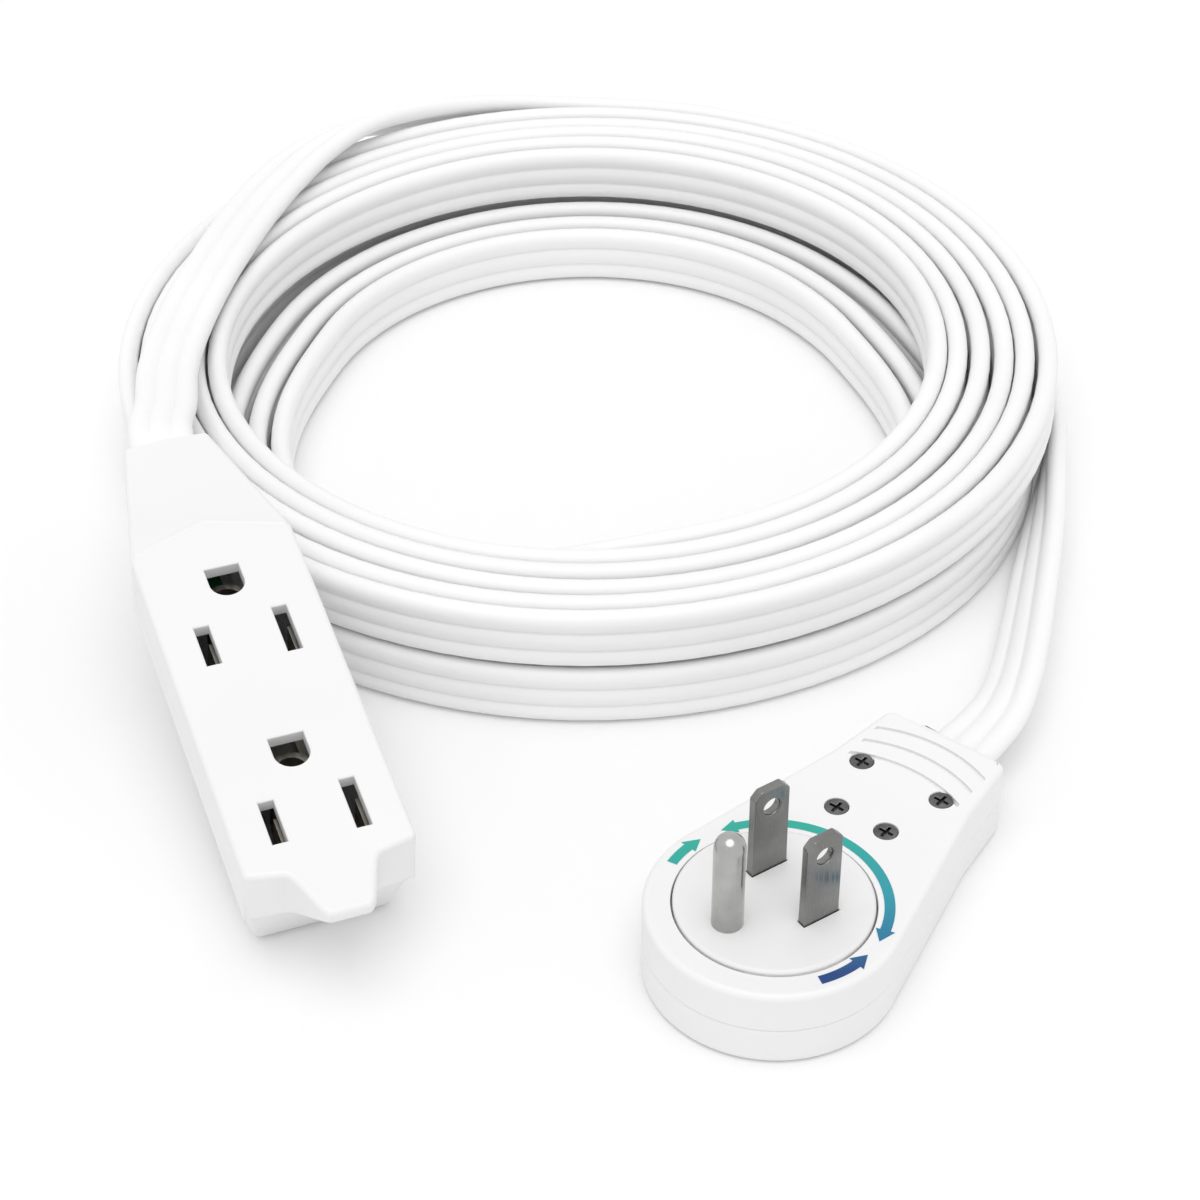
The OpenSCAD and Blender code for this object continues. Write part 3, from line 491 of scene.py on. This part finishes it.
def edit(piece):
    """Open one piece alone in edit mode, with nothing of it selected."""
    bpy.ops.object.select_all(action="DESELECT")
    piece.select_set(True)
    bpy.context.view_layer.objects.active = piece
    bpy.ops.object.mode_set(mode="EDIT")
    bpy.ops.mesh.select_mode(type="EDGE")
    bpy.ops.mesh.select_all(action="DESELECT")


def merged_copy(node, name):
    """A new piece from a CAD node, its loose triangles merged into whole faces."""
    piece = bpy.data.objects.new(name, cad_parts[node].data.copy())
    piece.data.name = name
    scene.collection.objects.link(piece)
    edit(piece)
    bpy.ops.mesh.select_all(action="SELECT")
    bpy.ops.mesh.remove_doubles(threshold=MERGE * MM)
    bpy.ops.mesh.dissolve_limited(angle_limit=FLAT_ANGLE)
    bpy.ops.object.mode_set(mode="OBJECT")
    return piece


def round_edges(piece, place, width, steps, pick):
    """Round over the edges that are picked by their middle and direction in the piece's own frame, and turn."""
    own = place.inverted()
    edit(piece)
    mesh = bmesh.from_edit_mesh(piece.data)
    for edge in mesh.edges:
        if not edge.is_manifold:
            continue
        a, b = (own @ v.co / MM for v in edge.verts)
        turn = math.degrees(edge.calc_face_angle(0))
        if pick((a + b) / 2, (b - a).normalized(), turn):
            edge.select_set(True)
    bmesh.update_edit_mesh(piece.data)
    bpy.ops.mesh.bevel(
        offset=width * MM, offset_type="OFFSET", segments=steps, profile=0.5, affect="EDGES",
        clamp_overlap=False, loop_slide=False,
    )
    bpy.ops.object.mode_set(mode="OBJECT")


def settle(piece, material, body, slot, *nodes):
    """Smooth a finished piece, give it its material, and let it ride in place of its CAD node."""
    bpy.ops.object.select_all(action="DESELECT")
    piece.select_set(True)
    bpy.context.view_layer.objects.active = piece
    bpy.ops.object.shade_smooth_by_angle(angle=SMOOTH_ANGLE)
    bpy.ops.object.modifier_add(type="WEIGHTED_NORMAL")
    piece.modifiers[-1].keep_sharp = True
    bpy.ops.object.modifier_apply(modifier=piece.modifiers[-1].name)
    piece.data.materials.clear()
    piece.data.materials.append(material)
    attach(piece, body)
    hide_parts(*nodes)


def on_keel(at):
    """Whether a point lies on the sides or ends of the drafted tray."""
    low = 1 - at.z / SPLIT_Z
    side = BLOCK_HALF - SIDE_DRAFT * low - abs(at.x)
    near = at.y - NEAR_Y - NEAR_DRAFT * low
    heel = HEEL_Y - HEEL_DRAFT * low - at.y
    return min(side, near, heel) < SKIN


white_plastic = finish_of(
    "white_plastic", tones=(grey(0.785), grey(0.805)), rough=(0.36, 0.48), grain=3200, relief=6e-6, clouds=30
)
block_tray = merged_copy("outlet_bottom_shell", "outlet_tray")
round_edges(
    block_tray, BLOCK_PLACE, KEEL_ROUND, ROUND_STEPS,
    lambda at, way, turn: turn > SHARP and at.z < SPLIT_Z - SKIN and on_keel(at),
)
round_edges(
    block_tray, BLOCK_PLACE, SEAM, SEAM_STEPS,
    lambda at, way, turn: turn > SHARP and abs(at.z - SPLIT_Z) < TOUCH and on_keel(at),
)
settle(block_tray, white_plastic, "cord_set", "shell_white", "outlet_bottom_shell")

# Outlet block's top shell
# The outlet face with its slots, the hipped neck that takes the cord and the thumb tongue at the near end.
# It is moulded as the tray is, with softened edges, a low ridge along the chevron and broken slot mouths.
FACE_Z = 22
NECK_START = 38.5
MOUTH_HALF = 7.3
MOUTH_CORNER = 6.4
MOUTH_SKIN = 0.5
TONGUE_Y = -24.5
RIM_FROM = 1.6
RIM_SKIN = 0.4
RIM_ROUND = 0.9
UPRIGHT = 0.8
SLOTS_HALF = 9.0
SLOTS_NEAR = -24.0
SLOTS_FAR = 35.5
SLOT_SKIN = 0.1
SLOT_BREAK = 0.25
BREAK_STEPS = 2
CHEVRON_Y = 39.1
CHEVRON_RISE = 4.4
CHEVRON_FOLD = 5
RIDGE_HALF = 0.8
RIDGE_H = 0.28
RIDGE_END = 12.6
RIDGE_SKIN = 0.5


def half_width(y):
    """Half the block's width: full up to the chevron, then tapered to the neck's mouth."""
    t = max(0.0, (y - NECK_START) / (MOUTH_Y - NECK_START))
    return BLOCK_HALF + (MOUTH_HALF - BLOCK_HALF) * t


def on_rim(at, way, turn):
    """Whether an edge runs round the outside of the face, the neck or the tongue."""
    if turn < SHARP or at.z < SPLIT_Z + RIM_FROM:
        return False
    if half_width(at.y) - abs(at.x) < RIM_SKIN and at.y < MOUTH_Y - MOUTH_SKIN:
        return True
    if at.y < TONGUE_Y:
        return abs(way.z) < UPRIGHT
    return at.y > MOUTH_Y - MOUTH_SKIN and abs(at.x) > MOUTH_CORNER


def off_chevron(at):
    """How far a point lies from the chevron's line, seen on the face."""
    slope = CHEVRON_RISE / BLOCK_HALF
    return abs(CHEVRON_Y + CHEVRON_RISE - slope * abs(at.x) - at.y) / math.hypot(1, slope)


def on_chevron(at, way, turn):
    """Whether an edge lies on the fold between the face and the neck."""
    on_fold = turn > CHEVRON_FOLD and off_chevron(at) < TOUCH
    return on_fold and at.z > FACE_Z - SKIN and abs(at.x) < RIDGE_END


def on_slot_mouth(at, way, turn):
    """Whether an edge lies round a slot or a ground hole in the face."""
    on_face = turn > SHARP and at.z > FACE_Z - SLOT_SKIN
    return on_face and abs(at.x) < SLOTS_HALF and SLOTS_NEAR < at.y < SLOTS_FAR


block_cover = merged_copy("outlet_top_shell", "outlet_cover")
round_edges(block_cover, BLOCK_PLACE, RIM_ROUND, ROUND_STEPS, on_rim)
round_edges(block_cover, BLOCK_PLACE, RIDGE_HALF, ROUND_STEPS, on_chevron)
for v in block_cover.data.vertices:
    at = BLOCK_PLACE.inverted() @ v.co / MM
    across = off_chevron(at)
    if across < RIDGE_HALF and at.z > FACE_Z - RIDGE_SKIN and abs(at.x) < RIDGE_END:
        at.z += RIDGE_H * smooth(1 - across / RIDGE_HALF)
        v.co = BLOCK_PLACE @ (at * MM)
round_edges(block_cover, BLOCK_PLACE, SLOT_BREAK, BREAK_STEPS, on_slot_mouth)
round_edges(
    block_cover, BLOCK_PLACE, SEAM, SEAM_STEPS,
    lambda at, way, turn: turn > SHARP and abs(at.z - SPLIT_Z) < TOUCH and half_width(at.y) - abs(at.x) < SKIN,
)
settle(block_cover, white_plastic, "cord_set", "shell_white", "outlet_top_shell")

# Plug's back shell
# The lower half of the flat plug, with the pivot post, the rotor's cradle and the screw bosses inside. It is
# moulded in the same white plastic, rounded where it lies on the wall or the floor.
BACK_H = 6.5
BACK_ROUND = 0.9
HEAD_R = 19.5
HEAD_MEETS = (19.03, 4.27)
PADDLE_BEND = (12.4, 33.8)
PADDLE_END = (10.8, 47.0)
PADDLE_ROUND = 1.4
CORNER_SKIN = 0.2
PLUG_SKIN = 0.5
ALONG = 0.9


def off_plug_edge(at):
    """How far a point lies inside the plug's outline, about."""
    if at.y < HEAD_MEETS[1]:
        return HEAD_R - math.hypot(at.x, at.y)
    near, far = (HEAD_MEETS, PADDLE_BEND) if at.y < PADDLE_BEND[1] else (PADDLE_BEND, PADDLE_END)
    t = (at.y - near[1]) / (far[1] - near[1])
    return min(near[0] + (far[0] - near[0]) * t - abs(at.x), PADDLE_END[1] - at.y)


def paddle_corner(at, way, turn):
    """Whether an edge stands at a corner of the paddle's end."""
    upright = turn > SHARP and abs(way.z) > ALONG
    return upright and abs(at.x) > PADDLE_END[0] - CORNER_SKIN and at.y > PADDLE_END[1] - CORNER_SKIN


def plug_rim(z):
    """A test for the edges round the plug's outline at a height."""
    return lambda at, way, turn: turn > SHARP and abs(at.z - z) < TOUCH and off_plug_edge(at) < PLUG_SKIN


plug_back = merged_copy("plug_back_shell", "plug_back")
round_edges(plug_back, PLUG_PLACE, PADDLE_ROUND, ROUND_STEPS, paddle_corner)
round_edges(plug_back, PLUG_PLACE, BACK_ROUND, ROUND_STEPS, plug_rim(0))
round_edges(plug_back, PLUG_PLACE, SEAM, SEAM_STEPS, plug_rim(BACK_H))
settle(plug_back, white_plastic, "cord_set", "shell_white", "plug_back_shell")

# Brushes
# Three sprung strips with a dome at the end, which press on the rotor's slip rings. They are stamped from
# tinned brass and soldered to the cord's conductors.
dress(tinned_brass, "line_brush", "neutral_brush", "ground_brush")

# Rotor
# The disc that carries the prongs, its base and the three slip rings under it. The disc is moulded in white
# plastic a little greyer than the shells and turns freely in the plug.
DISC_TOP = 14.1
DISC_SKIN = 0.5
DISC_BREAK = 0.15
rotor_plastic = finish_of(
    "rotor_plastic", tones=(grey(0.765), grey(0.785)), rough=(0.42, 0.55), grain=2600, relief=1e-5, clouds=50
)
dress(rotor_plastic, "rotor_base")
dress(tinned_brass, "line_ring", "neutral_ring", "ground_ring")
plug_disc = merged_copy("rotor_disc", "plug_disc")
round_edges(
    plug_disc, PLUG_PLACE, DISC_BREAK, BREAK_STEPS,
    lambda at, way, turn: turn > SHARP and at.z > DISC_TOP - DISC_SKIN,
)
settle(plug_disc, rotor_plastic, "rotor", "rotor_white", "rotor_disc")

# Prongs
# Two flat blades with a hole near the tip, and a round ground pin. They are nickel-plated brass, ground and
# drawn along their length, with broken edges, and are held by their feet under the disc.
PRONG_BREAK = 0.22
PRONG_STEPS = 3
PRONG_SKIN = 1


def nickel_with_painted_light(name, tones, rough):
    """Nickel plate over brass that is drawn along the prong, in given tones kept darker than bright nickel:
    painted shade, standing for dark surroundings reflected in it.
    """
    return finish_of(
        name, tones, rough, grain=2400, relief=3e-6, stretch=(1, 1, 0.04), metal=1.0, clouds=120
    )


# The blades' plate is the darkest: painted shade, as if they stood in shade with only dark surroundings to
# reflect.
shaded_blade_nickel = nickel_with_painted_light("nickel_with_painted_light", ((0.2, 0.199, 0.196), (0.28, 0.278, 0.274)), (0.16, 0.34))
prongs = []
for use in ("line", "neutral"):
    prong = merged_copy(f"{use}_blade", f"{use}_prong")
    round_edges(
        prong, PLUG_PLACE, PRONG_BREAK, PRONG_STEPS,
        lambda at, way, turn: turn > SHARP and at.z > DISC_TOP - PRONG_SKIN,
    )
    settle(prong, shaded_blade_nickel, "rotor", "prong_nickel", f"{use}_blade")
    prongs.append(prong)
# The pin's plate is a lighter copy of the same nickel: painted light on a pin whose front faces the light,
# though still darker than bright nickel.
lit_pin_nickel = nickel_with_painted_light("lit_pin_nickel", ((0.38, 0.378, 0.372), (0.5, 0.497, 0.49)), (0.14, 0.3))
dress(lit_pin_nickel, "ground_pin")

# Plug's face shell
# The upper half of the plug, with the round opening that the disc turns in, four screw recesses and three
# bowed grip grooves in the paddle. Its edges are rounded more than the back's.
PLUG_H = 13.5
FACE_ROUND = 1.0
FACE_STEPS = 5
OPENING_BREAK = 0.12
OPENING_FROM = 0.8
SEAM_GAP = 0.02
plug_face = merged_copy("plug_face_shell", "plug_face")
round_edges(plug_face, PLUG_PLACE, PADDLE_ROUND, ROUND_STEPS, paddle_corner)
round_edges(plug_face, PLUG_PLACE, FACE_ROUND, FACE_STEPS, plug_rim(PLUG_H))
round_edges(
    plug_face, PLUG_PLACE, OPENING_BREAK, BREAK_STEPS,
    lambda at, way, turn: turn > SHARP and abs(at.z - PLUG_H) < TOUCH and off_plug_edge(at) > OPENING_FROM,
)
round_edges(plug_face, PLUG_PLACE, SEAM, SEAM_STEPS, plug_rim(BACK_H + SEAM_GAP))
settle(plug_face, white_plastic, "cord_set", "shell_white", "plug_face_shell")

# Screws
# Four small cross-recess screws hold the face shell to the back shell. They are dark plated steel, with turned
# heads set just under the face.
HEAD_SHARP = 40
HEAD_SKIN = 0.2
HEAD_BREAK = 0.12
screw_steel = finish_of(
    "screw_steel", tones=((0.1, 0.1, 0.103), (0.17, 0.17, 0.174)), rough=(0.25, 0.42), grain=2600, relief=4e-6,
    metal=1.0, clouds=400,
)
cover_screws = merged_copy("plug_screws", "cover_screws")
round_edges(
    cover_screws, PLUG_PLACE, HEAD_BREAK, BREAK_STEPS,
    lambda at, way, turn: turn > HEAD_SHARP and at.z > PLUG_H - HEAD_SKIN,
)
settle(cover_screws, screw_steel, "cord_set", "screw_steel", "plug_screws")

# Cord collar
# A short moulded sleeve between the paddle's end and the cord, with a flange inside the shells. Its corners
# are rounded along the cord.
COLLAR_HALF = 7.3
COLLAR_FROM = 45.3
COLLAR_SKIN = 0.1
COLLAR_ROUND = 1.2
COLLAR_BREAK = 0.5
COLLAR_STEPS = 3


def collar_corner(at, way, turn):
    """Whether an edge runs along the cord at a corner of the sleeve."""
    along_cord = turn > SHARP and abs(way.y) > ALONG
    return along_cord and abs(at.x) > COLLAR_HALF - COLLAR_SKIN and at.y > COLLAR_FROM


cord_collar = merged_copy("plug_cord_collar", "cord_collar")
round_edges(cord_collar, PLUG_PLACE, COLLAR_ROUND, ROUND_STEPS, collar_corner)
round_edges(
    cord_collar, PLUG_PLACE, COLLAR_BREAK, COLLAR_STEPS,
    lambda at, way, turn: turn > SHARP and at.y > COLLAR_END - TOUCH,
)
settle(cord_collar, white_plastic, "cord_set", "shell_white", "plug_cord_collar")

# Turning arrows
# Printed arrows round the disc show that the plug turns. They are thin ink that runs from teal at the left
# to blue at the right, on the face shell's ring.
# The first and last angle of each arrow round the disc, and whether each end has a head.
ARROWS = {
    "arrow_short_teal": (189, 166, (0, 1)),
    "arrow_long": (153.5, 9, (1, 1)),
    "arrow_short_blue": (-32, -2, (0, 1)),
}
INK_R = 17.0
INK_T = 0.05
INK_LIFT = 0.01
INK_MERGE = 0.0001
SHAFT_HALF = 0.8
HEAD_HALF = 1.45
HEAD_SPAN = 8.5
INK_STEPS = 40
INK_TONES = ((0.01, 0.37, 0.29), (0.004, 0.044, 0.19))
INK_ENDS = (0.12, 0.9)
INK_BETWEEN = ((0.55, (0.01, 0.28, 0.35)), (0.78, (0.004, 0.15, 0.3)))
INK_WAY = math.radians(-98.6)
INK_SPAN = 40
INK_MIDDLE = 0.5
ink = finish_of("arrow_ink", INK_TONES, rough=(0.4, 0.55), grain=3000, relief=2e-6)
ink_tree = ink.node_tree
ink_ramp = next(n for n in ink_tree.nodes if n.type == "VALTORGB")
ink_place = ink_tree.nodes.new("ShaderNodeMapping")
ink_place.vector_type = "TEXTURE"
ink_place.inputs["Location"].default_value = PLUG_AT * MM
ink_place.inputs["Rotation"].default_value = (0, 0, INK_WAY)
ink_place.inputs["Scale"].default_value = (INK_SPAN * MM, INK_SPAN * MM, INK_SPAN * MM)
ink_split = ink_tree.nodes.new("ShaderNodeSeparateXYZ")
ink_shift = ink_tree.nodes.new("ShaderNodeMath")
ink_shift.inputs[1].default_value = INK_MIDDLE
ink_tree.links.new(ink_tree.nodes["Texture Coordinate"].outputs["Object"], ink_place.inputs["Vector"])
ink_tree.links.new(ink_place.outputs[0], ink_split.inputs[0])
ink_tree.links.new(ink_split.outputs["X"], ink_shift.inputs[0])
ink_tree.links.new(ink_shift.outputs[0], ink_ramp.inputs["Fac"])
for stop, position in zip(ink_ramp.color_ramp.elements, INK_ENDS):
    stop.position = position
for position, tone in INK_BETWEEN:
    ink_ramp.color_ramp.elements.new(position).color = (*tone, 1)
arrows = []
for name, (start, end, heads) in ARROWS.items():
    bpy.ops.object.select_all(action="DESELECT")
    bpy.ops.mesh.primitive_grid_add(x_subdivisions=INK_STEPS, y_subdivisions=1, size=2)
    arrow = bpy.context.object
    arrow.name = name
    arrow.data.name = name
    span = abs(end - start)
    first = HEAD_SPAN if heads[0] else 0
    last = span - HEAD_SPAN if heads[1] else span
    tips = [0.0 if head else SHAFT_HALF for head in heads]
    barbs = [HEAD_HALF if head else SHAFT_HALF for head in heads]
    ends = {
        0: (0.0, tips[0]), 1: (first, barbs[0]), INK_STEPS - 1: (last, barbs[1]), INK_STEPS: (span, tips[1])
    }
    for v in arrow.data.vertices:
        i = round((v.co.x + 1) / 2 * INK_STEPS)
        shaft = (first + (last - first) * (i - 2) / (INK_STEPS - 4), SHAFT_HALF)
        gone, half = ends.get(i, shaft)
        turn = math.radians(start + (end - start) * gone / span)
        r = INK_R + half * (1 if v.co.y > 0 else -1)
        v.co = PLUG_PLACE @ (Vector((r * math.cos(turn), r * math.sin(turn), PLUG_H + INK_LIFT)) * MM)
    edit(arrow)
    bpy.ops.mesh.select_all(action="SELECT")
    bpy.ops.mesh.remove_doubles(threshold=INK_MERGE * MM)
    bpy.ops.mesh.extrude_region_move(TRANSFORM_OT_translate={"value": (0, 0, INK_T * MM)})
    bpy.ops.mesh.select_all(action="SELECT")
    bpy.ops.mesh.normals_make_consistent(inside=False)
    bpy.ops.object.mode_set(mode="OBJECT")
    arrow.data.materials.append(ink)
    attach(arrow, "cord_set")
    arrows.append(arrow)

# Finish
# The pieces that hang on the cord with the plug are gathered in a list.
PLUG_NODES = [
    "plug_cord_clamp", "line_brush", "neutral_brush", "ground_brush", "plug_line_wire", "plug_neutral_wire",
    "plug_ground_wire", "rotor_base", "ground_pin", "line_ring", "neutral_ring", "ground_ring",
]
on_cord = [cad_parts[n] for n in PLUG_NODES] + prongs + arrows
on_cord += [plug_back, plug_face, cover_screws, cord_collar, plug_disc]
